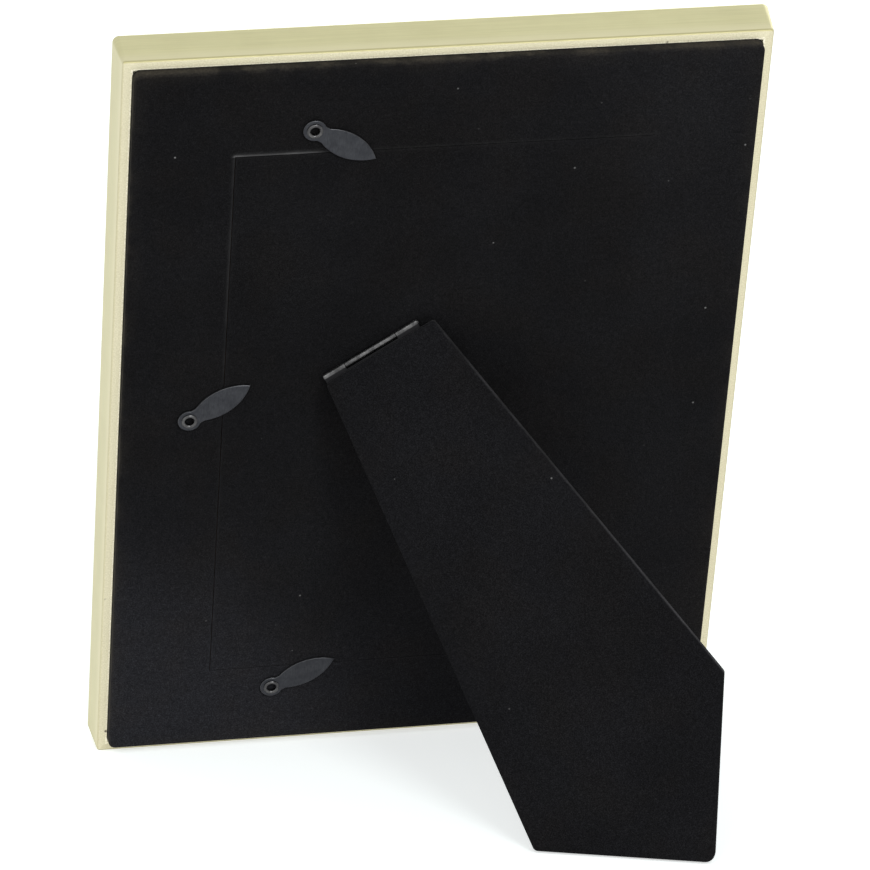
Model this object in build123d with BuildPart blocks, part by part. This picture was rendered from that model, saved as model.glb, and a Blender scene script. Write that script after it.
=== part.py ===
"""Easel back photo frame for an upright 102 x 152 mm photo, standing on its opened leg.

The frame leans back on a five-sided leg that is hinged on a slanting line, so that the folded leg
lies square in the lower corner of the back. Millimetres, +Z up, the front looks along -Y, and the
origin is on the table in the middle of the footprint. Places on the back are given as seen from
behind: across to the right, up along the frame, and out from the back rim.
"""

import os
from math import atan, cos, degrees, hypot, radians, sin, tan

from build123d import *

os.makedirs("parts", exist_ok=True)

# Stance, in degrees: lean of the frame, and slant of the hinge line against the bottom edge
lean_angle = 14
hinge_angle = 34

# The leg's edges, which meet the table, are rounded, and the edge of the back rim follows
rest_edge_radius = 0.3

# Frame body: a hollow casting, drafted so that its front is larger than its back rim, with a
# rebate for the photo and a seat for the back board
photo_width = 102
photo_height = 152
border_width = 30
frame_depth = 11.2
front_flare = 1
front_plate = 3
sight_lip = 3
sight_chamfer = 1
rebate_clearance = 0.5
rebate_wall = 3.5
rim_width = 2.4
seat_depth = 0.6
seat_ledge = 1.6
corner_radius = 0.8
seat_corner_radius = 2
sight_corner_radius = 0.6
front_edge_radius = 0.8

# What lies in the rebate, from the front
glass_thickness = 2
glass_edge_chamfer = 0.25
photo_thickness = 0.25
card_thickness = 1.5
insert_clearance = 0.3
clinch_clearance = 0.15

# Back board with its loading door, and the velvet over both
board_thickness = 3
board_gap = 0.2
door_side_lap = 1
door_end_lap = 2.5
door_drop = 0.5
door_gap = 0.4
velvet_thickness = 0.5
velvet_wrap = 0.4
velvet_edge_chamfer = 0.3

# Turn buttons: each pivot along its door edge, from the corner or the middle of that edge, and
# out from the edge, and how far the leaf is turned
top_button_in = 19.1
top_button_out = 7.1
top_button_turn = -30
side_button_rise = 1.2
side_button_out = 8.7
side_button_turn = 33
bottom_button_in = 16.2
bottom_button_out = 6.6
bottom_button_turn = 26
button_reach = 18
button_head_radius = 2.9
button_neck_width = 4.4
button_neck_end = 3.2
button_neck_radius = 0.8
button_leaf_width = 7
button_leaf_widest = 10
button_thickness = 0.5
button_edge_chamfer = 0.12
button_lift = 0.1

# Hollow rivets under the button heads
eyelet_bore_radius = 1.2
eyelet_barrel_radius = 1.45
eyelet_flange_radius = 2
eyelet_flange_thickness = 0.35
eyelet_chamfer = 0.2
eyelet_play = 0.05

# Hinge: a fixed strap through the door, a leaf in the leg, and a wire pin
hinge_across = -14.4
hinge_rise = 21.2
hinge_sheet = 0.35
pin_radius = 0.4
pin_play = 0.05
pin_end_chamfer = 0.12
barrel_length = 27.6
barrel_shift = -1.9
strap_length = 14.8
knuckle_gap = 0.2
clinch_length = 4
slot_play = 0.15
leaf_depth = 12
heel_play = 0.05

# Leg: two plies in a velvet sleeve
leg_top_width = 31.6
leg_width = 65
apex_offset = 5.3
leg_ply = 1.2
leg_velvet_wrap = 0.3
leg_gap = 0.3
leg_top_clearance = 0.7
leg_top_radius = 0.8
foot_radius = 1.5
apex_radius = 2.4

# Every cut runs this far past the face it opens
overrun = 1

# Sizes that follow
frame_width = photo_width + 2 * border_width
frame_height = photo_height + 2 * border_width
middle = frame_height / 2
rebate_width = photo_width + 2 * rebate_clearance
rebate_height = photo_height + 2 * rebate_clearance
rebate_depth = frame_depth - front_plate - seat_depth
insert_width = rebate_width - 2 * insert_clearance
insert_height = rebate_height - 2 * insert_clearance
board_inset = rim_width + board_gap
covered_width = frame_width - 2 * board_inset
covered_height = frame_height - 2 * board_inset
covered_radius = seat_corner_radius - board_gap
door_width = rebate_width + 2 * door_side_lap
door_height = rebate_height + 2 * door_end_lap
door_middle = middle - door_drop
door_side = -door_width / 2
door_top = door_middle + door_height / 2
door_bottom = door_middle - door_height / 2
velvet_inside = board_thickness - seat_depth
velvet_face = velvet_inside + velvet_thickness
barrel_radius = pin_radius + pin_play + hinge_sheet
inner_ply_face = barrel_radius - leg_ply
leg_inner_face = inner_ply_face - leg_velvet_wrap
leg_outer_face = barrel_radius + leg_ply + leg_velvet_wrap
leg_thickness = leg_outer_face - leg_inner_face
leg_top = barrel_radius + leg_top_clearance
axis_out = velvet_face + leg_gap - leg_inner_face

# The leg opens until its level foot edge, square with the folded frame, lies flat on the table
lean = radians(lean_angle)
slant = radians(hinge_angle)
opening = 2 * atan(tan(lean) / cos(slant))
opening_angle = degrees(opening)


def back_plane_at(setback, settle):
    """The plane of the back rim: X across, Y up the frame, Z out of the back."""
    return Plane(origin=(0, setback, -settle), x_dir=(-1, 0, 0), z_dir=(0, cos(lean), -sin(lean)))


def hinge_location(plane, turn):
    """On the hinge axis: X along it, Y up the leg and Z out of the leg, opened by turn."""
    seat = Pos(hinge_across, door_middle + hinge_rise, axis_out)
    return plane.location * seat * Rot(0, 0, hinge_angle) * Rot(-turn, 0, 0)


# Foot edge: where the plane of the leg's inner face meets the table
upright = back_plane_at(0, 0)
open_leg = Plane(hinge_location(upright, opening_angle))
height_here = open_leg.from_local_coords((0, 0, leg_inner_face)).Z
fall_along_leg = open_leg.y_dir.Z
rise_across_leg = open_leg.x_dir.Z


def foot_line(across):
    """Distance down the leg, from the hinge axis, at which the foot edge lies on the table."""
    return (height_here + across * rise_across_leg) / fall_along_leg


apex_down = foot_line(apex_offset)
landscape_edge = (leg_width / 2 - apex_offset) / sin(slant)
leg_corners = [
    (-leg_top_width / 2, -leg_top),
    (-leg_width / 2, -foot_line(-leg_width / 2)),
    (apex_offset, -apex_down),
    (leg_width / 2, -apex_down + landscape_edge * cos(slant)),
    (leg_top_width / 2, -leg_top),
]
leg_corner_radii = [leg_top_radius, foot_radius, apex_radius, foot_radius, leg_top_radius]

# The origin goes midway between the front bottom edge and the apex of the leg, on the table,
# where the rounded edges rest a little lower than their sharp corners. The draft opens the corner
# of the back rim, so its edge is rounded further than the leg's, and both rest on the table
front_reach = -frame_depth * cos(lean) - front_flare * sin(lean)
rear_reach = open_leg.from_local_coords((apex_offset, -apex_down, leg_outer_face)).Y
edge_settle = rest_edge_radius * (sin(lean) + cos(lean) - 1)
draft_share = (hypot(frame_depth, front_flare) - front_flare) / frame_depth
rim_edge_radius = edge_settle / (sin(lean) + cos(lean) * draft_share - 1)
back = back_plane_at(-(front_reach + rear_reach) / 2, edge_settle)
out = Axis(back.origin, back.z_dir)
leg_plane = Plane(hinge_location(back, opening_angle))
folded_plane = Plane(hinge_location(back, 0))

button_places = {
    "top": (door_side + top_button_in, door_top + top_button_out, top_button_turn),
    "side": (door_side - side_button_out, door_middle + side_button_rise, side_button_turn),
    "bottom": (door_side + bottom_button_in, door_bottom - bottom_button_out, bottom_button_turn),
}
button_pivots = [(across, up) for across, up, turn in button_places.values()]


def save(builder, name):
    """Labels a finished piece and writes it."""
    builder.part.label = name
    export_step(builder.part, f"parts/{name}.step")


def middle_rectangle(width, height, radius, up=middle, mode=Mode.ADD):
    """A rectangle on the frame's centre line, with rounded corners where radius isn't 0."""
    with Locations((0, up)):
        if radius:
            RectangleRounded(width, height, radius, mode=mode)
        else:
            Rectangle(width, height, mode=mode)


# Frame body
with BuildPart() as frame_body:
    with BuildSketch(back):
        middle_rectangle(frame_width, frame_height, corner_radius)
    extrude(amount=-frame_depth, taper=-degrees(atan(front_flare / frame_depth)))
    fillet(frame_body.faces().sort_by(out)[0].edges(), front_edge_radius)
    fillet(frame_body.faces().sort_by(out)[-1].edges(), rim_edge_radius)
    with BuildSketch(back.offset(overrun)):
        middle_rectangle(frame_width - 2 * rim_width, frame_height - 2 * rim_width, seat_corner_radius)
    extrude(amount=-seat_depth - overrun, mode=Mode.SUBTRACT)
    ledge_inset = rim_width + seat_ledge
    with BuildSketch(back.offset(overrun)):
        middle_rectangle(frame_width - 2 * ledge_inset, frame_height - 2 * ledge_inset, seat_corner_radius)
        middle_rectangle(
            rebate_width + 2 * rebate_wall, rebate_height + 2 * rebate_wall, 0, mode=Mode.SUBTRACT
        )
        middle_rectangle(rebate_width, rebate_height, 0)
    extrude(amount=-seat_depth - rebate_depth - overrun, mode=Mode.SUBTRACT)
    with BuildSketch(back):
        middle_rectangle(
            photo_width - 2 * sight_lip, photo_height - 2 * sight_lip, sight_corner_radius
        )
    extrude(amount=-frame_depth - overrun, mode=Mode.SUBTRACT)
    sight_edges = frame_body.faces().sort_by(out)[0].inner_wires()[0].edges()
    chamfer(sight_edges, sight_chamfer)
save(frame_body, "frame_body")

# Glass, photo, card and filler, stacked on the lip of the rebate
glass_face = -seat_depth - rebate_depth
photo_face = glass_face + glass_thickness
card_face = photo_face + photo_thickness
filler_face = card_face + card_thickness
filler_back = -seat_depth - hinge_sheet - clinch_clearance

with BuildPart() as glass_pane:
    with BuildSketch(back.offset(glass_face)):
        middle_rectangle(insert_width, insert_height, 0)
    extrude(amount=glass_thickness)
    chamfer(glass_pane.edges(), glass_edge_chamfer)
save(glass_pane, "glass_pane")

with BuildPart() as photo_insert:
    with BuildSketch(back.offset(photo_face)):
        middle_rectangle(photo_width, photo_height, 0)
    extrude(amount=photo_thickness)
save(photo_insert, "photo_insert")

with BuildPart() as backing_card:
    with BuildSketch(back.offset(card_face)):
        middle_rectangle(insert_width, insert_height, 0)
    extrude(amount=card_thickness)
save(backing_card, "backing_card")

with BuildPart() as filler_pad:
    with BuildSketch(back.offset(filler_face)):
        middle_rectangle(insert_width, insert_height, 0)
    extrude(amount=filler_back - filler_face)
save(filler_pad, "filler_pad")

# Back board round the door opening, drilled for the hollow rivets
eyelet_hole = eyelet_barrel_radius + eyelet_play
with BuildPart() as back_board:
    with BuildSketch(back.offset(-seat_depth)):
        middle_rectangle(
            covered_width - 2 * velvet_wrap, covered_height - 2 * velvet_wrap, covered_radius - velvet_wrap
        )
        middle_rectangle(
            door_width + 2 * door_gap, door_height + 2 * door_gap, 0, door_middle, Mode.SUBTRACT
        )
        with Locations(*button_pivots):
            Circle(eyelet_hole, mode=Mode.SUBTRACT)
    extrude(amount=board_thickness)
save(back_board, "back_board")


def strap_slot(mode):
    """The slit in door and velvet that the hinge strap passes through."""
    with Locations(Location((hinge_across, door_middle + hinge_rise), hinge_angle)):
        with Locations((barrel_shift, 0)):
            Rectangle(strap_length + 2 * slot_play, 2 * hinge_sheet + 2 * slot_play, mode=mode)


with BuildPart() as loading_door:
    with BuildSketch(back.offset(-seat_depth)):
        middle_rectangle(door_width, door_height, 0, door_middle)
        strap_slot(Mode.SUBTRACT)
    extrude(amount=board_thickness)
save(loading_door, "loading_door")

# Velvet: one sheet, wrapped round the board and slit on three sides of the door
with BuildPart() as velvet_covering:
    with BuildSketch(back.offset(-seat_depth)):
        middle_rectangle(covered_width, covered_height, covered_radius)
    extrude(amount=velvet_face + seat_depth)
    chamfer(velvet_covering.faces().sort_by(out)[-1].edges(), velvet_edge_chamfer)
    with BuildSketch(back.offset(-seat_depth - overrun)):
        middle_rectangle(
            covered_width - 2 * velvet_wrap, covered_height - 2 * velvet_wrap, covered_radius - velvet_wrap
        )
    extrude(amount=board_thickness + overrun, mode=Mode.SUBTRACT)
    with BuildSketch(back):
        middle_rectangle(door_width + 2 * door_gap, door_height + 2 * door_gap, 0, door_middle)
        middle_rectangle(door_width, door_height, 0, door_middle, Mode.SUBTRACT)
        with Locations((door_width / 2 + door_gap / 2, door_middle)):
            Rectangle(door_gap, door_height + 2 * door_gap, mode=Mode.SUBTRACT)
        with Locations(*button_pivots):
            Circle(eyelet_hole)
        strap_slot(Mode.ADD)
    extrude(amount=velvet_face + overrun, mode=Mode.SUBTRACT)
save(velvet_covering, "velvet_covering")

# Turn buttons: a pierced round head, a narrow neck and a pointed leaf
button_face = velvet_face + button_lift
for side, (across, up, turn) in button_places.items():
    button_plane = Plane(back.location * Pos(across, up, button_face) * Rot(0, 0, turn))
    with BuildPart() as turn_button:
        with BuildSketch(button_plane) as outline:
            with BuildLine():
                tip = (button_reach, 0)
                upper_neck = (button_neck_end, button_neck_width / 2)
                lower_neck = (button_neck_end, -button_neck_width / 2)
                Polyline(upper_neck, (0, button_neck_width / 2), (0, -button_neck_width / 2), lower_neck)
                ThreePointArc(lower_neck, (button_leaf_widest, -button_leaf_width / 2), tip)
                ThreePointArc(tip, (button_leaf_widest, button_leaf_width / 2), upper_neck)
            make_face()
            Circle(button_head_radius)
            neck_corners = outline.vertices().filter_by_position(Axis.X, 0, button_leaf_widest)
            fillet(neck_corners, button_neck_radius)
            Circle(eyelet_hole, mode=Mode.SUBTRACT)
        extrude(amount=button_thickness)
        chamfer(turn_button.faces().sort_by(out)[-1].outer_wire().edges(), button_edge_chamfer)
    save(turn_button, f"turn_button_{side}")

# Hollow rivets: flange over the button head, barrel through the board, rolled over inside
flange_face = button_face + button_thickness + eyelet_play
with BuildPart() as button_eyelets:
    for across, up in button_pivots:
        pivot = back.from_local_coords((across, up, 0))
        with BuildSketch(Plane(pivot, x_dir=back.x_dir, z_dir=-back.y_dir)) as rivet_section:
            with BuildLine():
                Polyline(
                    (eyelet_bore_radius, flange_face + eyelet_flange_thickness),
                    (eyelet_flange_radius, flange_face + eyelet_flange_thickness),
                    (eyelet_flange_radius, flange_face),
                    (eyelet_barrel_radius, flange_face),
                    (eyelet_barrel_radius, -seat_depth),
                    (eyelet_flange_radius, -seat_depth),
                    (eyelet_flange_radius, -seat_depth - eyelet_flange_thickness),
                    (eyelet_bore_radius, -seat_depth - eyelet_flange_thickness),
                    close=True,
                )
            make_face()
            chamfer(rivet_section.vertices().group_by(Axis.Y)[-1], eyelet_chamfer)
        revolve(axis=Axis(pivot, back.z_dir))
save(button_eyelets, "button_eyelets")

# Hinge strap: a loop round the pin, its tails pushed through the door and clinched inside
strap_plane = Plane(
    folded_plane.from_local_coords((barrel_shift, 0, 0)),
    x_dir=-folded_plane.y_dir,
    z_dir=-folded_plane.x_dir,
)
door_inside = -seat_depth - axis_out
with BuildPart() as hinge_strap:
    with BuildSketch(strap_plane):
        Circle(barrel_radius)
        with Locations((0, door_inside / 2)):
            Rectangle(2 * hinge_sheet, -door_inside)
        with Locations((0, door_inside - hinge_sheet / 2)):
            Rectangle(2 * clinch_length, hinge_sheet)
        Circle(pin_radius + pin_play, mode=Mode.SUBTRACT)
    extrude(amount=strap_length / 2, both=True)
save(hinge_strap, "hinge_strap")

# Hinge leaf: knuckles either side of the strap, a heel on each that stops the open leg
heel_length = (axis_out - velvet_face - heel_play - barrel_radius * sin(opening)) / cos(opening)
leaf_section = Plane(
    leg_plane.from_local_coords((barrel_shift, 0, 0)),
    x_dir=-leg_plane.y_dir,
    z_dir=-leg_plane.x_dir,
)
leaf_bore = pin_radius + pin_play
leaf_middle = leaf_bore + hinge_sheet / 2
with BuildPart() as hinge_leaf:
    with BuildSketch(leaf_section):
        Circle(barrel_radius)
        with Locations((leaf_depth / 2, leaf_middle)):
            Rectangle(leaf_depth, hinge_sheet)
        with Locations((-leaf_middle, -heel_length / 2)):
            Rectangle(hinge_sheet, heel_length)
        Circle(leaf_bore, mode=Mode.SUBTRACT)
    extrude(amount=barrel_length / 2, both=True)
    with BuildSketch(leaf_section):
        notch = barrel_radius + knuckle_gap
        with Locations((notch / 2 - barrel_radius / 2 - overrun / 2, 0)):
            Rectangle(notch + barrel_radius + overrun, 2 * barrel_radius + 2 * overrun)
    extrude(amount=strap_length / 2 + knuckle_gap, both=True, mode=Mode.SUBTRACT)
save(hinge_leaf, "hinge_leaf")

with BuildPart() as hinge_pin:
    with BuildSketch(leaf_section):
        Circle(pin_radius)
    extrude(amount=barrel_length / 2 + knuckle_gap, both=True)
    chamfer(hinge_pin.edges().filter_by(GeomType.CIRCLE), pin_end_chamfer)
save(hinge_pin, "hinge_pin")


# Leg: the five-sided outline, hinge edge at the top and two foot edges below, and its core
with BuildSketch(Plane.XY) as leg_outline:
    with BuildLine():
        FilletPolyline(*leg_corners, radius=leg_corner_radii, close=True)
    make_face()
with BuildSketch(Plane.XY) as leg_core:
    add(leg_outline.sketch)
    offset(amount=-leg_velvet_wrap, mode=Mode.REPLACE)
with BuildSketch(Plane.XY) as leaf_recess:
    with Locations((barrel_shift, -leaf_depth / 2)):
        Rectangle(barrel_length, leaf_depth)

with BuildPart() as leg_outer_ply:
    with BuildSketch(leg_plane.offset(barrel_radius)):
        add(leg_core.sketch)
    extrude(amount=leg_ply)
save(leg_outer_ply, "leg_outer_ply")

with BuildPart() as leg_inner_ply:
    with BuildSketch(leg_plane.offset(inner_ply_face)):
        add(leg_core.sketch)
    extrude(amount=leg_ply)
    with BuildSketch(leg_plane.offset(barrel_radius)):
        add(leaf_recess.sketch)
    extrude(amount=-hinge_sheet, mode=Mode.SUBTRACT)
save(leg_inner_ply, "leg_inner_ply")

with BuildPart() as leg_velvet:
    with BuildSketch(leg_plane.offset(leg_inner_face)):
        add(leg_outline.sketch)
    extrude(amount=leg_thickness)
    leg_faces = leg_velvet.faces().sort_by(Axis(leg_plane.origin, leg_plane.z_dir))
    fillet(leg_faces[0].edges() + leg_faces[-1].edges(), rest_edge_radius)
    with BuildSketch(leg_plane.offset(inner_ply_face)):
        add(leg_core.sketch)
    extrude(amount=2 * leg_ply, mode=Mode.SUBTRACT)
    with BuildSketch(leg_plane.offset(barrel_radius)):
        add(leaf_recess.sketch)
    extrude(amount=-hinge_sheet, mode=Mode.SUBTRACT)
save(leg_velvet, "leg_velvet")

print("opening angle", round(opening_angle, 3))
print("hinge axis at", leg_plane.origin, "along", leg_plane.x_dir)
for pivot in button_pivots:
    print("button pivot at", back.from_local_coords((*pivot, button_face)), "about", back.z_dir)
print("back rim from", back.origin, "normal", back.z_dir)
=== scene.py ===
"""Looks of the easel back photo frame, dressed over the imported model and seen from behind.

The velvet on the back, the velvet sleeve of the leg and the blank print are modelled here.
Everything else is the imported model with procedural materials. Places on the back are in
millimetres as seen from behind: across to the right, up along the frame, and out from the back rim.
"""

from math import atan, ceil, cos, exp, hypot, pi, radians, sin, tan

import bmesh
import bpy
from mathutils import Matrix, Quaternion, Vector, noise


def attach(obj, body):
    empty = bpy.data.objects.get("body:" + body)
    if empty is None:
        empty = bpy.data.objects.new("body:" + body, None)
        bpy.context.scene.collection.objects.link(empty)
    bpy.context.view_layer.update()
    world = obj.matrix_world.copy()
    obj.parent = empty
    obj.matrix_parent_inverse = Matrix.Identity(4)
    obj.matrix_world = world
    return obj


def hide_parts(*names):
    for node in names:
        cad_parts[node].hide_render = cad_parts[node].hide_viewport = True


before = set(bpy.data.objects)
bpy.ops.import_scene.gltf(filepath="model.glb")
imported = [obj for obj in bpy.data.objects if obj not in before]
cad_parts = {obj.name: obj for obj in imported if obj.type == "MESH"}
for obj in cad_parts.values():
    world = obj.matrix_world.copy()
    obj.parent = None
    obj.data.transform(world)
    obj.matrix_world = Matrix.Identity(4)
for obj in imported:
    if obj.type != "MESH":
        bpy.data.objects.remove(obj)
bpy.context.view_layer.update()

# Places

MM = 0.001
LEAN = radians(14)
SLANT = radians(34)
OPENING = 2 * atan(tan(LEAN) / cos(SLANT))

# The back rim's plane: its origin, and its directions across, up and out.
# The origin lies a little below the table, because the edge that the frame stands on is rounded.
SETBACK = 0.0415971
REST_EDGE = 0.3
SETTLE = MM * REST_EDGE * (sin(LEAN) + cos(LEAN) - 1)
BACK_ORIGIN = Vector((0, -SETBACK, -SETTLE))
ACROSS = Vector((-1, 0, 0))
UP = Vector((0, sin(LEAN), cos(LEAN)))
OUT = Vector((0, cos(LEAN), -sin(LEAN)))

# Half the width and half the height of the back rim, and the rim's width
HALF_WIDTH = 81.0
MIDDLE = 106.0
RIM_WIDTH = 2.6


def on_back(across, up, out):
    """A point on the back, in metres in the part's frame."""
    return BACK_ORIGIN + MM * (across * ACROSS + up * UP + out * OUT)


# The open leg: along the hinge axis, up the leg, and out of its outer face
HINGE = on_back(-14.4, 126.7, 3.9)
LEG_X = cos(SLANT) * ACROSS + sin(SLANT) * UP
LEG_UP_FOLDED = -sin(SLANT) * ACROSS + cos(SLANT) * UP
LEG_Y = cos(OPENING) * LEG_UP_FOLDED - sin(OPENING) * OUT
LEG_Z = cos(OPENING) * OUT + sin(OPENING) * LEG_UP_FOLDED


def on_leg(across, along, out):
    """A point on the open leg, in metres in the part's frame."""
    return HINGE + MM * (across * LEG_X + along * LEG_Y + out * LEG_Z)


# Meshes


def share(value, low, high):
    """How far a value has come from low to high, from 0 to 1."""
    return min(1.0, max(0.0, (value - low) / (high - low)))


def near(distance, reach):
    """1 at no distance, falling off smoothly over the reach."""
    return exp(-((distance / reach) ** 2))


def make_piece(name, mesh, body, node, thickness, material):
    """A thin piece from its outer surface: thickened inwards, creased only at its cut edges."""
    piece = bpy.data.objects.new(name, mesh)
    bpy.context.scene.collection.objects.link(piece)
    shell = piece.modifiers.new("thickness", "SOLIDIFY")
    shell.thickness = thickness * MM
    shell.offset = -1
    shell.use_even_offset = True
    depsgraph = bpy.context.evaluated_depsgraph_get()
    closed = bpy.data.meshes.new_from_object(piece.evaluated_get(depsgraph))
    piece.modifiers.clear()
    piece.data = closed
    closed.name = name
    for face in closed.polygons:
        face.use_smooth = True
    closed.set_sharp_from_angle(angle=radians(50))
    closed.materials.clear()
    closed.materials.append(material)
    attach(piece, body)
    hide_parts(node)
    return piece


def mesh_from(name, points, faces, marks):
    """A mesh with its faces turned outwards and one value per point for each named mark."""
    mesh = bpy.data.meshes.new(name)
    mesh.from_pydata(points, [], faces)
    for mark, values in marks.items():
        mesh.attributes.new(mark, "FLOAT", "POINT").data.foreach_set("value", values)
    work = bmesh.new()
    work.from_mesh(mesh)
    loose = [v for v in work.verts if not v.link_faces]
    bmesh.ops.delete(work, geom=loose, context="VERTS")
    bmesh.ops.recalc_face_normals(work, faces=work.faces)
    work.to_mesh(mesh)
    work.free()
    return mesh


# Velvet over the back board: half sizes, edge and corner radii, and the slit round the door
COVER_ACROSS = 78.4
COVER_UP = 103.4
COVER_FACE = 2.9
COVER_DROP = 3.5
COVER_CORNER = 1.8
COVER_EDGE = 0.6
COVER_CLOTH = 0.36
GRID_STEP = 2.6
DOOR_SIDE = 52.5
DOOR_TOP = 184.5 - MIDDLE
DOOR_BOTTOM = 26.5 - MIDDLE
SLIT_LOW = 0.11
SLIT_HIGH = 0.29
RIVETS = [(-33.4, 191.6 - MIDDLE), (-61.2, 106.7 - MIDDLE), (-36.3, 19.9 - MIDDLE)]

# Soft forms of that velvet: how deep they are and how far they reach
WAVE_DEPTH = 0.05
WAVE_SCALE = 0.035
WAVE_LAYER = 3.7
LIP_DEPTH = 0.05
OPEN_LIP_DEPTH = 0.08
LIP_REACH = 0.5
FOLD_DEPTH = 0.09
FOLD_REACH = 0.9
FOLD_END = 2
DIMPLE_DEPTH = 0.18
DIMPLE_REACH = 3.4


def edge_rows():
    """Rows that carry the velvet over its edge: run along the cloth, inset from the side, drop."""
    flat = COVER_CORNER - COVER_EDGE
    rows = [(0.0, COVER_CORNER, 0.0), (flat / 2, COVER_CORNER - flat / 2, 0.0)]
    steps = 5
    for step in range(steps + 1):
        turn = pi / 2 * step / steps
        inset = COVER_EDGE * (1 - sin(turn))
        drop = COVER_EDGE * (1 - cos(turn))
        rows.append((flat + COVER_EDGE * turn, inset, drop))
    last = rows[-1][0]
    for drop in (1.2, 2.0, 2.8, COVER_DROP):
        rows.append((last + drop - COVER_EDGE, 0.0, drop))
    return rows


EDGE_ROWS = edge_rows()


def grid_lines(half, kept):
    """Lines of the grid across the flat of the velvet, through every kept value."""
    ends = [-half + COVER_CORNER, half - COVER_CORNER]
    stops = sorted(set(kept) | set(ends))
    lines = []
    for low, high in zip(stops, stops[1:]):
        parts = max(1, ceil((high - low) / GRID_STEP))
        lines += [low + (high - low) * k / parts for k in range(parts)]
    lines.append(ends[1])
    edge = [(half - inset, run, drop) for run, inset, drop in EDGE_ROWS[1:]]
    before = [(-place, run, drop) for place, run, drop in reversed(edge)]
    return before + [(place, 0.0, 0.0) for place in lines] + edge


def around(value, *steps):
    """A line and its neighbours, closer together than the rest of the grid."""
    return [value + step for step in steps]


def slit_distance(across, up):
    """Distance from the three-sided slit round the door."""
    left = -DOOR_SIDE - SLIT_HIGH
    right = -DOOR_SIDE - SLIT_LOW
    low = DOOR_BOTTOM - SLIT_HIGH
    high = DOOR_TOP + SLIT_HIGH
    strips = [
        (left, right, low, high),
        (left, DOOR_SIDE, DOOR_TOP + SLIT_LOW, high),
        (left, DOOR_SIDE, low, DOOR_BOTTOM - SLIT_LOW),
    ]
    gaps = []
    for left, right, low, high in strips:
        gaps.append(hypot(max(left - across, 0, across - right), max(low - up, 0, up - high)))
    return min(gaps)


def cut_wear(across, up):
    """How pale the cut edge has been rubbed: most where the door is pried open by its corner."""
    least = 0.02
    if up > DOOR_TOP + SLIT_LOW:
        return 0.05 + 0.95 * share(-across, 30, 38)
    if across < -DOOR_SIDE - SLIT_LOW:
        return least + 0.1 * share(up, 10, 35)
    return least


def cover_sink(across, up):
    """How far the velvet lies below its highest level: waves, lips, fold and rivet dimples."""
    wave = noise.noise(Vector((across * WAVE_SCALE, up * WAVE_SCALE, WAVE_LAYER)))
    sink = WAVE_DEPTH * (1 + wave)
    lip_depth = LIP_DEPTH + OPEN_LIP_DEPTH * share(up, -20, 20)
    sink += lip_depth * near(slit_distance(across, up), LIP_REACH)
    beyond = max(DOOR_BOTTOM - up, 0, up - DOOR_TOP)
    sink += FOLD_DEPTH * near(across - DOOR_SIDE, FOLD_REACH) * near(beyond, FOLD_END)
    for pivot_across, pivot_up in RIVETS:
        away = hypot(across - pivot_across, up - pivot_up)
        sink += DIMPLE_DEPTH * near(away, DIMPLE_REACH)
    return sink


def cover_point(line_across, line_up):
    """Place of one point of the velvet's grid, with how far over the edge it lies."""
    (across, run_a, drop_a), (up, run_u, drop_u) = line_across, line_up
    drop = max(drop_a, drop_u)
    if run_a > 0 and run_u > 0:
        inset = min(COVER_ACROSS - abs(across), COVER_UP - abs(up))
        reach = (COVER_CORNER - inset) / hypot(run_a, run_u)
        side = 1 if across > 0 else -1
        head = 1 if up > 0 else -1
        across = side * (COVER_ACROSS - COVER_CORNER + reach * run_a)
        up = head * (COVER_UP - COVER_CORNER + reach * run_u)
    return across, up, drop


def edge_band(inset, drop):
    """How strong the paler brown band is: most on the side of the board, fading onto the flat, and
    weaker at the foot of the side as painted shade in the gap at the rim.
    """
    if drop > 0:
        return min(1.0, 0.25 + 0.5 * drop) * min(1.0, 1.6 - 0.4 * drop)
    return max(0.0, 0.17 - 0.055 * inset)


def make_cover():
    """The velvet on the back: one sheet over board and door, slit on three sides of the door."""
    outwards = (-1.3, -0.6, -0.2, SLIT_LOW, SLIT_HIGH, 0.6, 1.0, 1.7)
    mirrored = [-step for step in outwards]
    beside_fold = (-1.6, -0.8, 0, 0.8, 1.6)
    lines_across = grid_lines(
        COVER_ACROSS, around(-DOOR_SIDE, *mirrored) + around(DOOR_SIDE, *beside_fold)
    )
    lines_up = grid_lines(
        COVER_UP, around(DOOR_TOP, *outwards) + around(DOOR_BOTTOM, *mirrored)
    )
    points, cut, edge_band_and_light = [], [], []
    for line_up in lines_up:
        for line_across in lines_across:
            across, up, drop = cover_point(line_across, line_up)
            sink = cover_sink(across, up) * max(0.0, 1 - drop / COVER_EDGE)
            points.append(on_back(across, MIDDLE + up, COVER_FACE - drop - sink))
            cut.append(cut_wear(across, up) * near(slit_distance(across, up), LIP_REACH))
            # The paler band over the board's edge, with painted shade at the foot of its side
            edge_band_and_light.append(edge_band(min(COVER_ACROSS - abs(across), COVER_UP - abs(up)), drop))
    faces = []
    columns = len(lines_across)
    for row in range(len(lines_up) - 1):
        for column in range(columns - 1):
            middle_across = (lines_across[column][0] + lines_across[column + 1][0]) / 2
            middle_up = (lines_up[row][0] + lines_up[row + 1][0]) / 2
            if slit_distance(middle_across, middle_up) > 0:
                first = row * columns + column
                faces.append((first, first + 1, first + columns + 1, first + columns))
    return mesh_from("velvet_back", points, faces, {"cut": cut, "edge_band_and_light": edge_band_and_light})


# Velvet sleeve of the leg: the five corners with their radii, and the faces it wraps
LEG_OUTER = 2.3
LEG_INNER = -0.7
LEG_EDGE = 0.3
LEG_CLOTH = 0.26
SEAM_INSET = 6.0
HEIGHT = (on_leg(0, 0, LEG_INNER).z + SETTLE) / MM


def foot_line(across):
    """How far down the leg its inner face meets the table."""
    return (HEIGHT + across * LEG_X.z) / LEG_Y.z


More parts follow.
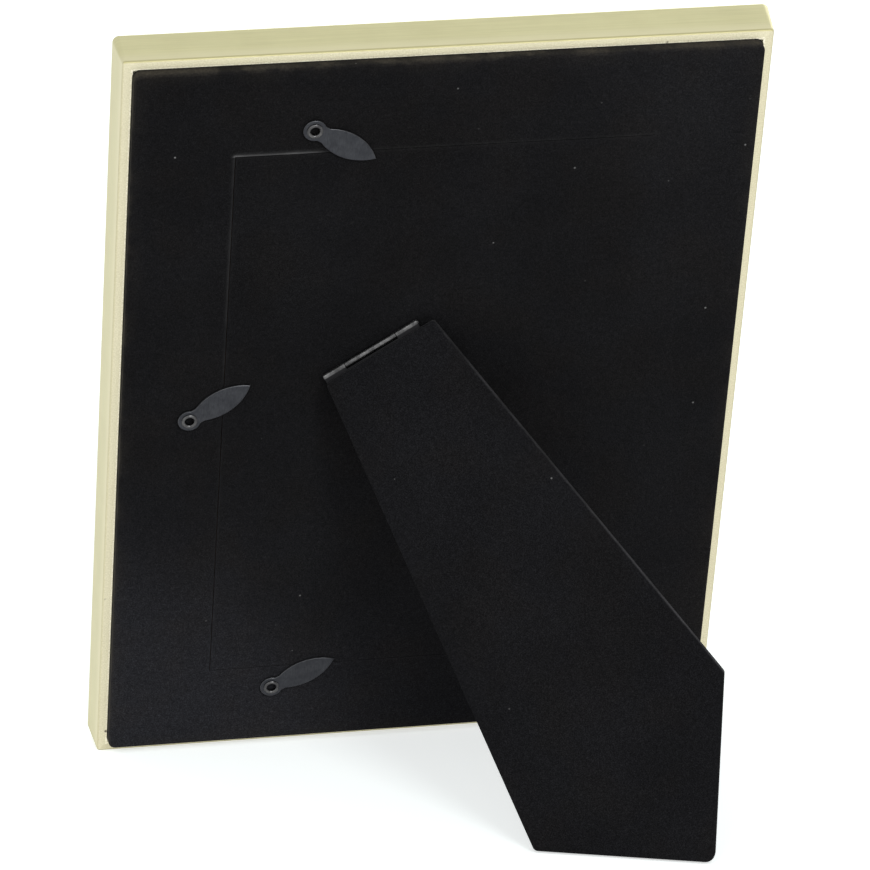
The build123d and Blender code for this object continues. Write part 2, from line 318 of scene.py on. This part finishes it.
# The leg is widest at its side corners. Its apex parts the foot edge for the upright frame from
# the one for the frame laid on its side.
LEG_HALF = 32.5
LEG_TOP_HALF = 15.8
LEG_TOP = -1.5
APEX = 5.3
LANDSCAPE_EDGE = (LEG_HALF - APEX) / sin(SLANT)
TOP_RADIUS = 0.8
SIDE_RADIUS = 1.5
APEX_RADIUS = 2.4
LEAST_RADIUS = 0.12
LEG_CORNERS = [
    (-LEG_TOP_HALF, LEG_TOP, TOP_RADIUS),
    (-LEG_HALF, -foot_line(-LEG_HALF), SIDE_RADIUS),
    (APEX, -foot_line(APEX), APEX_RADIUS),
    (LEG_HALF, -foot_line(APEX) + LANDSCAPE_EDGE * cos(SLANT), SIDE_RADIUS),
    (LEG_TOP_HALF, LEG_TOP, TOP_RADIUS),
]

# Insets of the sleeve's rows on the flat faces, how hollow the outer face is, and the hem's step
INNERMOST = 9.0
FLAT_INSET = 3.0
BAND_INSET = 1.2
FACE_HOLLOW = 0.02
HEM_STEP = 0.15
# Painted highlight along the leg's wrapped edges, strong on the long side and faint elsewhere, and
# how pale the hem's cut is
LONG_SIDE_SHEEN = 0.85
OTHER_SHEEN = 0.12
HEM_CUT = 0.3


def leg_ring(inset, arc_steps=6, side_steps=14):
    """The leg's outline moved inwards, always with the same number of points."""
    corners = [Vector(corner[:2]) for corner in LEG_CORNERS]
    count = len(corners)
    sides = []
    for k in range(count):
        heading = (corners[(k + 1) % count] - corners[k]).normalized()
        inwards = Vector((-heading.y, heading.x))
        sides.append((corners[k] + inset * inwards, heading))
    runs = []
    for k in range(count):
        (start_a, head_a), (start_b, head_b) = sides[k - 1], sides[k]
        away = (start_b - start_a).cross(head_b) / head_a.cross(head_b)
        corner = start_a + away * head_a
        radius = max(LEG_CORNERS[k][2] - inset, LEAST_RADIUS)
        half = head_a.angle(head_b) / 2
        centre = corner + (head_b - head_a).normalized() * (radius / cos(half))
        begin = corner - head_a * radius * tan(half) - centre
        arc = []
        for step in range(arc_steps + 1):
            turn = 2 * half * step / arc_steps
            spin = Matrix.Rotation(turn, 2)
            arc.append(centre + spin @ begin)
        runs.append(arc)
    ring = []
    for k in range(count):
        ring += runs[k]
        start, end = runs[k][-1], runs[(k + 1) % count][0]
        ring += [start.lerp(end, step / side_steps) for step in range(1, side_steps)]
    return ring


def on_long_side(point):
    """Whether a point of the outline is on the leg's long side, whose edge gets the strong painted
    highlight.
    """
    beyond_top = 15.0
    return point.x > beyond_top and point.y > LEG_CORNERS[3][1]


def make_sleeve():
    """The velvet of the leg: wrapped round the plies, its hem pressed flat on the inner face."""
    middle = (LEG_OUTER + LEG_INNER) / 2
    rows = [
        (INNERMOST, LEG_OUTER - FACE_HOLLOW, 0.0),
        (FLAT_INSET, LEG_OUTER - FACE_HOLLOW / 2, 0.0),
        (BAND_INSET, LEG_OUTER, 0.0),
    ]
    steps = 4
    for step in range(steps + 1):
        turn = pi / 2 * step / steps
        inset = LEG_EDGE * (1 - sin(turn))
        drop = LEG_EDGE * (1 - cos(turn))
        rows.append((inset, LEG_OUTER - drop, step / steps))
    rows.append((0.0, middle, 1.0))
    for step in range(steps + 1):
        turn = pi / 2 * (1 - step / steps)
        inset = LEG_EDGE * (1 - sin(turn))
        drop = LEG_EDGE * (1 - cos(turn))
        rows.append((inset, LEG_INNER + drop, 1 - step / steps))
    rows += [
        (BAND_INSET, LEG_INNER, 0.0),
        (FLAT_INSET, LEG_INNER, 0.0),
        (SEAM_INSET - 0.2, LEG_INNER, 0.0),
        (SEAM_INSET, LEG_INNER + HEM_STEP - 0.01, 0.0),
        (SEAM_INSET + 1, LEG_INNER + HEM_STEP, 0.0),
        (INNERMOST, LEG_INNER + HEM_STEP, 0.0),
    ]
    points, cut, edge_band_and_light, faces = [], [], [], []
    for inset, out, edge_sheen in rows:
        ring = leg_ring(inset)
        points += [on_leg(p.x, p.y, out) for p in ring]
        cut += [HEM_CUT if inset == SEAM_INSET else 0.0] * len(ring)
        # A painted highlight over the wrapped edges, strong on the long side
        edge_band_and_light += [edge_sheen * (LONG_SIDE_SHEEN if on_long_side(p) else OTHER_SHEEN) for p in ring]
    count = len(points) // len(rows)
    for row in range(len(rows) - 1):
        for k in range(count):
            here, there = row * count + k, row * count + (k + 1) % count
            faces.append((here, there, there + count, here + count))
    faces.append(tuple(range(count)))
    faces.append(tuple(range(len(points) - count, len(points))))
    return mesh_from("velvet_leg", points, faces, {"cut": cut, "edge_band_and_light": edge_band_and_light})


# The blank print behind the glass: half sizes, its face just clear of the pane, and its paper
PRINT_ACROSS = 51.0
PRINT_UP = 76.0
PRINT_FACE = -6.15
PRINT_PAPER = 0.19
PRINT_WAVE = 0.02
PRINT_WAVE_SCALE = 0.03
PRINT_WAVE_LAYER = 8.2


def make_print():
    """The front of the print: a sheet with the faint wave that paper has under glass."""
    columns, rows = 17, 25
    points = []
    for row in range(rows):
        for column in range(columns):
            across = PRINT_ACROSS * (2 * column / (columns - 1) - 1)
            up = PRINT_UP * (2 * row / (rows - 1) - 1)
            spot = Vector((across * PRINT_WAVE_SCALE, up * PRINT_WAVE_SCALE, PRINT_WAVE_LAYER))
            wave = PRINT_WAVE * noise.noise(spot)
            points.append(on_back(across, MIDDLE + up, PRINT_FACE + wave))
    faces = []
    for row in range(rows - 1):
        for column in range(columns - 1):
            first = row * columns + column
            faces.append((first, first + columns, first + columns + 1, first + 1))
    mesh = bpy.data.meshes.new("photo_print")
    mesh.from_pydata(points, [], faces)
    return mesh


# Materials

TO_MM = (1000, 1000, 1000)


class Surface:
    """A node material, built up one node at a time."""

    def __init__(self, name):
        self.material = bpy.data.materials.new(name)
        self.material.use_nodes = True
        self.tree = self.material.node_tree
        self.tree.nodes.clear()
        self.output = self.add("ShaderNodeOutputMaterial")

    def add(self, kind, inputs=None, **settings):
        made = self.tree.nodes.new(kind)
        for key, value in settings.items():
            setattr(made, key, value)
        for key, value in (inputs or {}).items():
            if isinstance(value, bpy.types.NodeSocket):
                self.tree.links.new(value, made.inputs[key])
            else:
                made.inputs[key].default_value = value
        return made

    def place(self):
        """The piece's own coordinates in millimetres, the same at every pose."""
        own = self.add("ShaderNodeTexCoord").outputs["Object"]
        return self.stretch(own, TO_MM)

    def back_place(self):
        """The same, turned to the back: across (to the left), up, and into the frame."""
        own = self.add("ShaderNodeTexCoord").outputs["Object"]
        up_shift = BACK_ORIGIN.dot(UP) / MM
        out_shift = BACK_ORIGIN.dot(OUT) / MM
        return self.add(
            "ShaderNodeMapping",
            {
                "Vector": own,
                "Location": (0, -up_shift, out_shift),
                "Rotation": (LEAN - pi / 2, 0, 0),
                "Scale": TO_MM,
            },
        ).outputs[0]

    def split(self, vector):
        return self.add("ShaderNodeSeparateXYZ", {0: vector}).outputs

    def stretch(self, vector, scale):
        return self.add("ShaderNodeMapping", {"Vector": vector, "Scale": scale}).outputs[0]

    def noise(self, vector, scale, detail=3.0, rough=0.5):
        return self.add(
            "ShaderNodeTexNoise",
            {"Vector": vector, "Scale": scale, "Detail": detail, "Roughness": rough},
        ).outputs[0]

    def cells(self, vector, scale):
        return self.add("ShaderNodeTexVoronoi", {"Vector": vector, "Scale": scale}).outputs

    def math(self, operation, first, second=0.0, third=0.0):
        return self.add(
            "ShaderNodeMath", {0: first, 1: second, 2: third}, operation=operation
        ).outputs[0]

    def ramp(self, value, low, high, to_low=0.0, to_high=1.0, smooth=True):
        inputs = {
            "Value": value,
            "From Min": low,
            "From Max": high,
            "To Min": to_low,
            "To Max": to_high,
        }
        kind = "SMOOTHSTEP" if smooth else "LINEAR"
        return self.add("ShaderNodeMapRange", inputs, interpolation_type=kind).outputs[0]

    def mix(self, amount, first, second, blend="MIX"):
        made = self.tree.nodes.new("ShaderNodeMix")
        made.data_type = "RGBA"
        made.blend_type = blend
        # Inputs 6 and 7 are the two colours of the colour mix
        for number, value in {0: amount, 6: first, 7: second}.items():
            if isinstance(value, bpy.types.NodeSocket):
                self.tree.links.new(value, made.inputs[number])
            else:
                made.inputs[number].default_value = value
        return made.outputs[2]

    def scaled(self, colour, value):
        """A colour made lighter or darker by a value."""
        return self.mix(1.0, colour, value, "MULTIPLY")

    def mark(self, name):
        return self.add("ShaderNodeAttribute", attribute_name=name).outputs["Fac"]

    def bump(self, height, strength, distance, under=None):
        inputs = {"Height": height, "Strength": strength, "Distance": distance * MM}
        if under is not None:
            inputs["Normal"] = under
        return self.add("ShaderNodeBump", inputs).outputs[0]

    def finish(self, inputs):
        shader = self.add("ShaderNodeBsdfPrincipled", inputs)
        self.tree.links.new(shader.outputs[0], self.output.inputs["Surface"])
        return self.material


def rgb(red, green, blue):
    return (red, green, blue, 1.0)


def velvet(
    name, dark, light, edge_band_colour, low=1.0, high=1.0, lit_low_corner=0.0, lit_high_corner=0.0, right=0.0
):
    """Short black pile: lint, dust, cut lips, a paler edge band with painted edge light and shade,
    and painted light towards the bottom, the right and two corners.
    """
    s = Surface(name)
    place = s.place()
    pile = s.noise(place, 3.2, 2.0, 0.6)
    tuft = s.noise(place, 0.9, 3.0, 0.55)
    patch = s.noise(place, 0.035, 2.0, 0.5)
    across, up, _ = s.split(s.back_place())
    rise = s.math("SUBTRACT", up, MIDDLE)
    lower = s.math("SUBTRACT", s.math("MULTIPLY", across, 0.6), s.math("MULTIPLY", rise, 0.8))
    upper = s.math("SUBTRACT", s.math("MULTIPLY", rise, 0.6), s.math("MULTIPLY", across, 0.8))
    # Painted light: the cloth is lighter towards the lower-left and upper-right corners and the
    # right side, lighter towards the bottom and darker towards the top
    painted_light = s.math(
        "ADD", s.ramp(lower, 60, 105, 0.0, lit_low_corner), s.ramp(upper, 45, 120, 0.0, lit_high_corner)
    )
    painted_light = s.math("ADD", painted_light, s.ramp(across, -65, -30, right, 0.0))
    painted_light = s.math("ADD", painted_light, s.ramp(up, 30, 120, low, high))
    patches_and_light = s.math("ADD", painted_light, s.ramp(patch, 0.3, 0.7, -0.1, 0.1))
    shade = s.math("MULTIPLY", s.ramp(pile, 0.25, 0.75, 0.62, 1.38, False), patches_and_light)
    shade = s.math("MULTIPLY", shade, s.ramp(tuft, 0.3, 0.7, 0.86, 1.14))
    colour = s.scaled(s.mix(s.ramp(pile, 0.35, 0.8), dark, light), shade)
    # The painted light in the low corner is bluer too, and dust dulls the black to brown in places
    blued = s.ramp(lower, 40, 105, 0.0, 0.8 * lit_low_corner)
    colour = s.mix(blued, colour, s.scaled(colour, rgb(0.97, 1.0, 1.1)))
    dusty = s.ramp(s.noise(place, 0.06, 2.0, 0.5), 0.42, 0.66, 0.0, 0.4)
    colour = s.mix(dusty, colour, s.scaled(colour, rgb(1.1, 1.0, 0.88)))
    # The edge band, broken up by noise: on the back a paler brown band over the board's edge with
    # painted shade at its foot, on the leg a painted highlight along its edges
    band_breaks = s.ramp(s.noise(place, 1.6, 3.0, 0.6), 0.35, 0.7, 0.55, 1.0)
    band_blotches = s.ramp(s.noise(place, 0.1, 3.0, 0.6), 0.4, 0.58, 0.25, 1.1)
    edge_band_and_light = s.math("MULTIPLY", s.mark("edge_band_and_light"), s.math("MULTIPLY", band_breaks, band_blotches))
    colour = s.mix(edge_band_and_light, colour, edge_band_colour)
    thread = s.ramp(s.noise(place, 0.12, 2.0, 0.5), 0.35, 0.6, 0.5, 1.0)
    cut = s.math("MULTIPLY", s.mark("cut"), thread)
    colour = s.mix(cut, colour, rgb(0.17, 0.17, 0.172))
    lint = s.cells(place, 0.16)
    lot, pale, _ = s.split(lint["Color"])
    chosen = s.math("MULTIPLY", s.ramp(lot, 0.66, 0.7), s.ramp(pale, 0.2, 0.9, 0.1, 1.0))
    speck = s.math("MULTIPLY", s.ramp(lint["Distance"], 0.025, 0.055, 1.0, 0.0), chosen)
    colour = s.mix(speck, colour, rgb(0.2, 0.2, 0.2))
    height = s.math("ADD", pile, s.math("MULTIPLY", tuft, 0.6))
    return s.finish({
        "Base Color": colour,
        "Roughness": s.ramp(tuft, 0.3, 0.7, 0.86, 0.98),
        "Specular IOR Level": 0.04,
        "Sheen Weight": 0.03,
        "Sheen Roughness": 0.4,
        "Normal": s.bump(height, 0.55, 0.16),
    })


def frame_gold():
    """Satin gold casting: brushed along its length, with a duller filed back rim, painted
    highlights towards the back edge and on the rim's inner lip, and painted shade in the crease.
    """
    s = Surface("satin_gold")
    place = s.back_place()
    across, up, depth = s.split(place)
    side = s.math("SUBTRACT", HALF_WIDTH, s.math("ABSOLUTE", across))
    end = s.math("SUBTRACT", MIDDLE, s.math("ABSOLUTE", s.math("SUBTRACT", up, MIDDLE)))
    edge = s.math("MINIMUM", side, end)
    # Brush lines run along each outer face, and along each bar of the front with mitred corners
    outer = s.noise(s.stretch(place, (0.05, 0.05, 6.0)), 1.0, 3.0, 0.6)
    bar_up = s.noise(s.stretch(place, (6.0, 0.05, 0.05)), 1.0, 3.0, 0.6)
    bar_across = s.noise(s.stretch(place, (0.05, 6.0, 0.05)), 1.0, 3.0, 0.6)
    upright = s.ramp(s.math("SUBTRACT", end, side), -0.1, 0.1)
    front_lines = s.mix(upright, bar_across, bar_up)
    front = s.ramp(depth, 10.8, 11.15)
    lines = s.mix(front, outer, front_lines)
    on_rim = s.ramp(edge, RIM_WIDTH, RIM_WIDTH + 0.3, 1.0, 0.0)
    rim = s.math("MULTIPLY", s.ramp(depth, 0.08, 0.42, 1.0, 0.0), on_rim)
    cloud = s.noise(place, 0.09, 3.0, 0.55)
    grain = s.noise(place, 2.6, 3.0, 0.65)
    gold = s.mix(s.ramp(cloud, 0.3, 0.7), rgb(0.545, 0.522, 0.307), rgb(0.572, 0.549, 0.327))
    gold = s.scaled(gold, s.ramp(lines, 0.25, 0.75, 0.92, 1.08, False))
    # Painted highlight: the metal is painted paler towards the back edge
    painted_gloss = s.ramp(depth, 0.3, 4.5, 0.75, 0.0)
    gold = s.mix(painted_gloss, gold, rgb(0.646, 0.61, 0.405))
    filed = s.mix(s.ramp(grain, 0.3, 0.72), rgb(0.635, 0.597, 0.417), rgb(0.752, 0.716, 0.53))
    # A painted highlight along the rim's inner lip
    lip = s.ramp(edge, 1.95, 2.3)
    lip_highlight = s.math("MULTIPLY", lip, s.ramp(grain, 0.4, 0.6, 0.2, 1.0))
    filed = s.mix(lip_highlight, filed, rgb(0.95, 0.91, 0.74))
    # A few small dark spots are scattered over the rim
    spot_cells = s.cells(place, 0.3)
    chosen = s.ramp(s.split(spot_cells["Color"])[1], 0.85, 0.88)
    tick = s.math("MULTIPLY", s.ramp(spot_cells["Distance"], 0.06, 0.16, 1.0, 0.0), chosen)
    filed = s.mix(tick, filed, rgb(0.16, 0.14, 0.1))
    colour = s.mix(rim, gold, filed)
    # Painted shade in the crease round the back edge, which tones down its highlight
    crease_shade = s.math("MULTIPLY", s.ramp(depth, 0.001, 0.02), s.ramp(depth, 0.3, 0.8, 1.0, 0.0))
    crease_shade = s.math("MULTIPLY", crease_shade, s.ramp(upright, 0.0, 1.0, 0.85, 0.3))
    colour = s.mix(crease_shade, colour, rgb(0.44, 0.41, 0.21))
    brushed = s.ramp(lines, 0.25, 0.75, 0.36, 0.46, False)
    rough = s.math("ADD", brushed, s.math("MULTIPLY", rim, 0.08))
    fine = s.bump(lines, 0.18, 0.05)
    coarse = s.bump(s.math("MULTIPLY", grain, rim), 0.5, 0.2, fine)
    # The rim falls away outwards a little, so that it catches the light
    inwards = s.math("MINIMUM", s.math("MAXIMUM", edge, 0.0), RIM_WIDTH)
    level = s.math("MULTIPLY", inwards, 0.24)
    back = s.math("MULTIPLY", on_rim, s.ramp(depth, 10.8, 11.15, 1.0, 0.0))
    bevelled = s.bump(s.math("MULTIPLY", level, back), 1.0, 1.0, coarse)
    return s.finish({
        "Base Color": colour,
        "Metallic": 1.0,
        "Roughness": rough,
        "Normal": bevelled,
    })


def button_steel():
    """Dull dark nickel: pressed, scuffed, and paler on the sheared edges, which are worn bare and
    carry a painted highlight.
    """
    s = Surface("button_steel")
    place = s.back_place()
    depth = s.split(place)[2]
    scuff = s.noise(s.stretch(place, (1.4, 0.3, 1.0)), 2.0, 4.0, 0.65)
    cloud = s.noise(place, 0.45, 3.0, 0.6)
    flat = s.mix(s.ramp(cloud, 0.3, 0.7), rgb(0.0355, 0.0375, 0.0425), rgb(0.0465, 0.049, 0.0545))
    flat = s.scaled(flat, s.ramp(scuff, 0.3, 0.75, 0.8, 1.35, False))
    # The sheared edges: bare metal with a painted highlight
    edge = s.ramp(depth, -3.49, -3.44)
    bare_and_highlight = s.math("MULTIPLY", edge, s.ramp(cloud, 0.3, 0.7, 0.5, 1.0))
    colour = s.mix(bare_and_highlight, flat, rgb(0.085, 0.087, 0.091))
    return s.finish({
        "Base Color": colour,
        "Metallic": 1.0,
        "Roughness": s.ramp(scuff, 0.3, 0.75, 0.34, 0.52),
        "Normal": s.bump(s.math("ADD", scuff, cloud), 0.3, 0.06),
    })


def plated(name, low, high, rough, leaf_shade=False):
    """Dull plated metal with fine scratches, on the hinge with painted shade on the leaf beyond its
    barrel.
    """
    s = Surface(name)
    place = s.place()
    scratch = s.noise(s.stretch(place, (0.5, 3.0, 3.0)), 2.4, 4.0, 0.7)
    cloud = s.noise(place, 0.6, 3.0, 0.6)
    colour = s.mix(s.ramp(cloud, 0.3, 0.75), low, high)
    colour = s.scaled(colour, s.ramp(scratch, 0.3, 0.7, 0.88, 1.1, False))
    if leaf_shade:
        # Painted shade on the hinge leaf beyond the barrel
        kind = "ShaderNodeVectorMath"
        offset = s.add(kind, {0: place, 1: HINGE / MM}, operation="SUBTRACT").outputs[0]
        swept = s.add(kind, {0: offset, 1: LEG_X}, operation="CROSS_PRODUCT").outputs[0]
        away = s.add(kind, {0: swept}, operation="LENGTH").outputs["Value"]
        colour = s.mix(s.ramp(away, 0.82, 0.95), colour, rgb(0.016, 0.016, 0.017))
    return s.finish({
        "Base Color": colour,
        "Metallic": 1.0,
        "Roughness": s.ramp(scratch, 0.3, 0.7, rough - 0.06, rough + 0.1),
        "Normal": s.bump(scratch, 0.25, 0.04),
    })


def fibreboard(name, low, high):
    """Pressed wood fibre, seen only at the cut edges of the boards."""
    s = Surface(name)
    place = s.back_place()
    fibre = s.noise(s.stretch(place, (1.0, 1.0, 3.0)), 1.7, 4.0, 0.7)
    cloud = s.noise(place, 0.2, 3.0, 0.5)
    colour = s.scaled(s.mix(s.ramp(fibre, 0.3, 0.7), low, high), s.ramp(cloud, 0.3, 0.7, 0.88, 1.1))
    return s.finish({
        "Base Color": colour,
        "Roughness": s.ramp(fibre, 0.3, 0.7, 0.75, 0.92),
        "Normal": s.bump(fibre, 0.5, 0.15),
    })


def paper(name, low, high, fleck, flute=0.0):
    """Paper or card: fibre, flecks and, on the filler, the faint ribs of its corrugation."""
    s = Surface(name)
    place = s.back_place()
    fibre = s.noise(s.stretch(place, (1.6, 0.7, 1.0)), 1.2, 4.0, 0.65)
    spots = s.ramp(s.noise(place, 2.2, 2.0, 0.5), 0.68, 0.76, 0.0, fleck)
    colour = s.mix(s.ramp(fibre, 0.3, 0.7), low, high)
    colour = s.mix(spots, colour, rgb(0.3, 0.25, 0.18))
    rib = s.math("SINE", s.math("MULTIPLY", s.split(place)[0], 2 * pi / 7))
    height = s.math("ADD", s.math("MULTIPLY", fibre, 0.3), s.math("MULTIPLY", rib, flute))
    return s.finish({
        "Base Color": colour,
        "Roughness": s.ramp(fibre, 0.3, 0.7, 0.5, 0.7),
        "Normal": s.bump(height, 0.25, 0.12),
    })


def clear_glass():
    """Picture glass, with the faintest green and a trace of dust."""
    s = Surface("picture_glass")
    place = s.back_place()
    haze = s.noise(place, 0.05, 3.0, 0.6)
    dust = s.ramp(s.noise(place, 2.5, 2.0, 0.5), 0.6, 0.8, 0.0, 0.05)
    tint = s.mix(s.ramp(haze, 0.3, 0.7), rgb(0.965, 0.985, 0.975), rgb(0.985, 0.995, 0.99))
    glass = s.add("ShaderNodeBsdfPrincipled", {
        "Base Color": tint,
        "Roughness": s.math("ADD", dust, s.ramp(haze, 0.3, 0.7, 0.0, 0.02)),
        "IOR": 1.5,
        "Transmission Weight": 1.0,
    })
    # Light passes straight through the pane to what is behind it
    path = s.add("ShaderNodeLightPath")
    straight = s.add("ShaderNodeBsdfTransparent", {"Color": rgb(0.965, 0.975, 0.97)})
    pane = s.add("ShaderNodeMixShader", {0: path.outputs["Is Camera Ray"]})
    s.tree.links.new(straight.outputs[0], pane.inputs[1])
    s.tree.links.new(glass.outputs[0], pane.inputs[2])
    s.tree.links.new(pane.outputs[0], s.output.inputs["Surface"])
    return s.material


BACK_VELVET = velvet(
    "velvet_back",
    rgb(0.0096, 0.0097, 0.0107),
    rgb(0.0168, 0.0169, 0.0184),
    edge_band_colour=rgb(0.056, 0.05, 0.04),
    low=1.15,
    high=0.74,
    lit_low_corner=0.75,
    lit_high_corner=0.22,
    right=0.1,
)
# The leg's cloth is the back's velvet painted darker, a painted shade that evens out the stronger
# light the leg takes
LEG_VELVET = velvet(
    "velvet_leg",
    rgb(0.0076, 0.0077, 0.0087),
    rgb(0.0131, 0.0133, 0.0148),
    edge_band_colour=rgb(0.045, 0.045, 0.048),
)
BOARD = fibreboard("fibreboard", rgb(0.115, 0.075, 0.042), rgb(0.2, 0.14, 0.085))
STEEL = button_steel()
PRINT = paper("photo_paper", rgb(0.76, 0.755, 0.735), rgb(0.82, 0.815, 0.8), 0.03)
NICKEL = plated("hinge_nickel", rgb(0.065, 0.065, 0.066), rgb(0.17, 0.17, 0.17), 0.4, True)
EYELET = plated("eyelet_nickel", rgb(0.06, 0.06, 0.062), rgb(0.115, 0.115, 0.115), 0.36)

node_materials = {
    "frame_body": frame_gold(),
    "glass_pane": clear_glass(),
    "photo_insert": PRINT,
    "backing_card": paper("grey_card", rgb(0.36, 0.345, 0.31), rgb(0.45, 0.435, 0.4), 0.3),
    "filler_pad": paper("corrugated_filler", rgb(0.36, 0.25, 0.15), rgb(0.46, 0.33, 0.2), 0.2, 1.0),
    "back_board": BOARD,
    "loading_door": BOARD,
    "leg_outer_ply": BOARD,
    "leg_inner_ply": BOARD,
    "turn_button_top": STEEL,
    "turn_button_side": STEEL,
    "turn_button_bottom": STEEL,
    "button_eyelets": EYELET,
    "hinge_strap": NICKEL,
    "hinge_leaf": NICKEL,
    "hinge_pin": NICKEL,
}

for node_name, finish in node_materials.items():
    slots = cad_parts[node_name].material_slots
    if len(slots) == 0:
        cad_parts[node_name].data.materials.append(finish)
    for slot in slots:
        slot.material = finish

# Pieces

velvet_back = make_piece(
    "velvet_back", make_cover(), "frame", "velvet_covering", COVER_CLOTH, BACK_VELVET
)

velvet_leg = make_piece(
    "velvet_leg", make_sleeve(), "leg", "leg_velvet", LEG_CLOTH, LEG_VELVET
)

make_piece(
    "photo_print", make_print(), "frame", "photo_insert", PRINT_PAPER, PRINT
)

# Floor, light and camera

FLOOR_GLOW = 0.58
SKY_LIGHT = 0.54
SKY_SEEN = 1.0


def seen_directly(tree):
    """1 for a ray from the camera, off a gloss or through glass, else 0."""
    path = tree.nodes.new("ShaderNodeLightPath")
    total = path.outputs["Is Camera Ray"]
    for output in ("Is Glossy Ray", "Is Transmission Ray"):
        larger = tree.nodes.new("ShaderNodeMath")
        larger.operation = "MAXIMUM"
        tree.links.new(total, larger.inputs[0])
        tree.links.new(path.outputs[output], larger.inputs[1])
        total = larger.outputs[0]
    return total


def make_floor():
    """A white floor that keeps the shadow."""
    mesh = bpy.data.meshes.new("floor")
    half = 6.0
    corners = [(-half, -half, 0), (half, -half, 0), (half, half, 0), (-half, half, 0)]
    mesh.from_pydata(corners, [], [(0, 1, 2, 3)])
    floor = bpy.data.objects.new("floor", mesh)
    bpy.context.scene.collection.objects.link(floor)
    s = Surface("floor_white")
    path = s.add("ShaderNodeLightPath")
    tint = s.mix(path.outputs["Is Camera Ray"], rgb(0.76, 0.76, 0.76), rgb(0.71, 0.78, 0.77))
    paint = s.add("ShaderNodeBsdfDiffuse", {"Color": tint})
    glow = s.add("ShaderNodeEmission", {"Color": rgb(1, 1, 1)})
    strength = s.math("MULTIPLY", seen_directly(s.tree), FLOOR_GLOW)
    s.tree.links.new(strength, glow.inputs["Strength"])
    both = s.add("ShaderNodeAddShader", {0: paint.outputs[0], 1: glow.outputs[0]})
    s.tree.links.new(both.outputs[0], s.output.inputs["Surface"])
    mesh.materials.append(s.material)


def make_world():
    """Even studio light from all round, white where it is seen directly."""
    world = bpy.data.worlds.new("studio")
    bpy.context.scene.world = world
    world.use_nodes = True
    tree = world.node_tree
    tree.nodes.clear()
    sky = tree.nodes.new("ShaderNodeBackground")
    sky.inputs["Color"].default_value = rgb(1, 1, 1)
    level = tree.nodes.new("ShaderNodeMapRange")
    level.inputs["To Min"].default_value = SKY_LIGHT
    level.inputs["To Max"].default_value = SKY_SEEN
    tree.links.new(seen_directly(tree), level.inputs["Value"])
    tree.links.new(level.outputs[0], sky.inputs["Strength"])
    output = tree.nodes.new("ShaderNodeOutputWorld")
    tree.links.new(sky.outputs[0], output.inputs["Surface"])


def make_lamp(name, place, target, size, power):
    """A square soft lamp that looks at its target."""
    lamp = bpy.data.lights.new(name, "AREA")
    lamp.shape = "SQUARE"
    lamp.size = size
    lamp.energy = power
    holder = bpy.data.objects.new(name, lamp)
    holder.location = place
    holder.rotation_euler = (Vector(target) - Vector(place)).to_track_quat("-Z", "Y").to_euler()
    bpy.context.scene.collection.objects.link(holder)


def make_camera():
    """The photograph's view: from behind, above, and a little to the left."""
    camera = bpy.data.cameras.new("camera")
    camera.sensor_fit = "HORIZONTAL"
    camera.sensor_width = 36.0
    camera.lens = 253.66
    camera.clip_start = 0.05
    camera.clip_end = 30.0
    holder = bpy.data.objects.new("camera", camera)
    place = Vector((0.2921669, 1.3993236, 0.6724023))
    aim = Vector((0.000782, 0, 0.0998437))
    roll = Quaternion((0, 0, 1), radians(0.837818))
    holder.location = place
    holder.rotation_euler = ((aim - place).to_track_quat("-Z", "Y") @ roll).to_euler()
    bpy.context.scene.collection.objects.link(holder)
    bpy.context.scene.camera = holder


make_floor()
make_world()
FRAME_MIDDLE = (0, 0, 0.1)
make_lamp("key", (-0.62, 2.0, 1.75), FRAME_MIDDLE, size=0.8, power=22.0)
make_lamp("fill", (1.5, 1.1, 1.8), FRAME_MIDDLE, size=1.8, power=13.0)
make_lamp("front", (-0.9, -1.8, 0.7), FRAME_MIDDLE, size=1.4, power=12.0)
make_camera()
bpy.context.scene.view_settings.view_transform = "Standard"
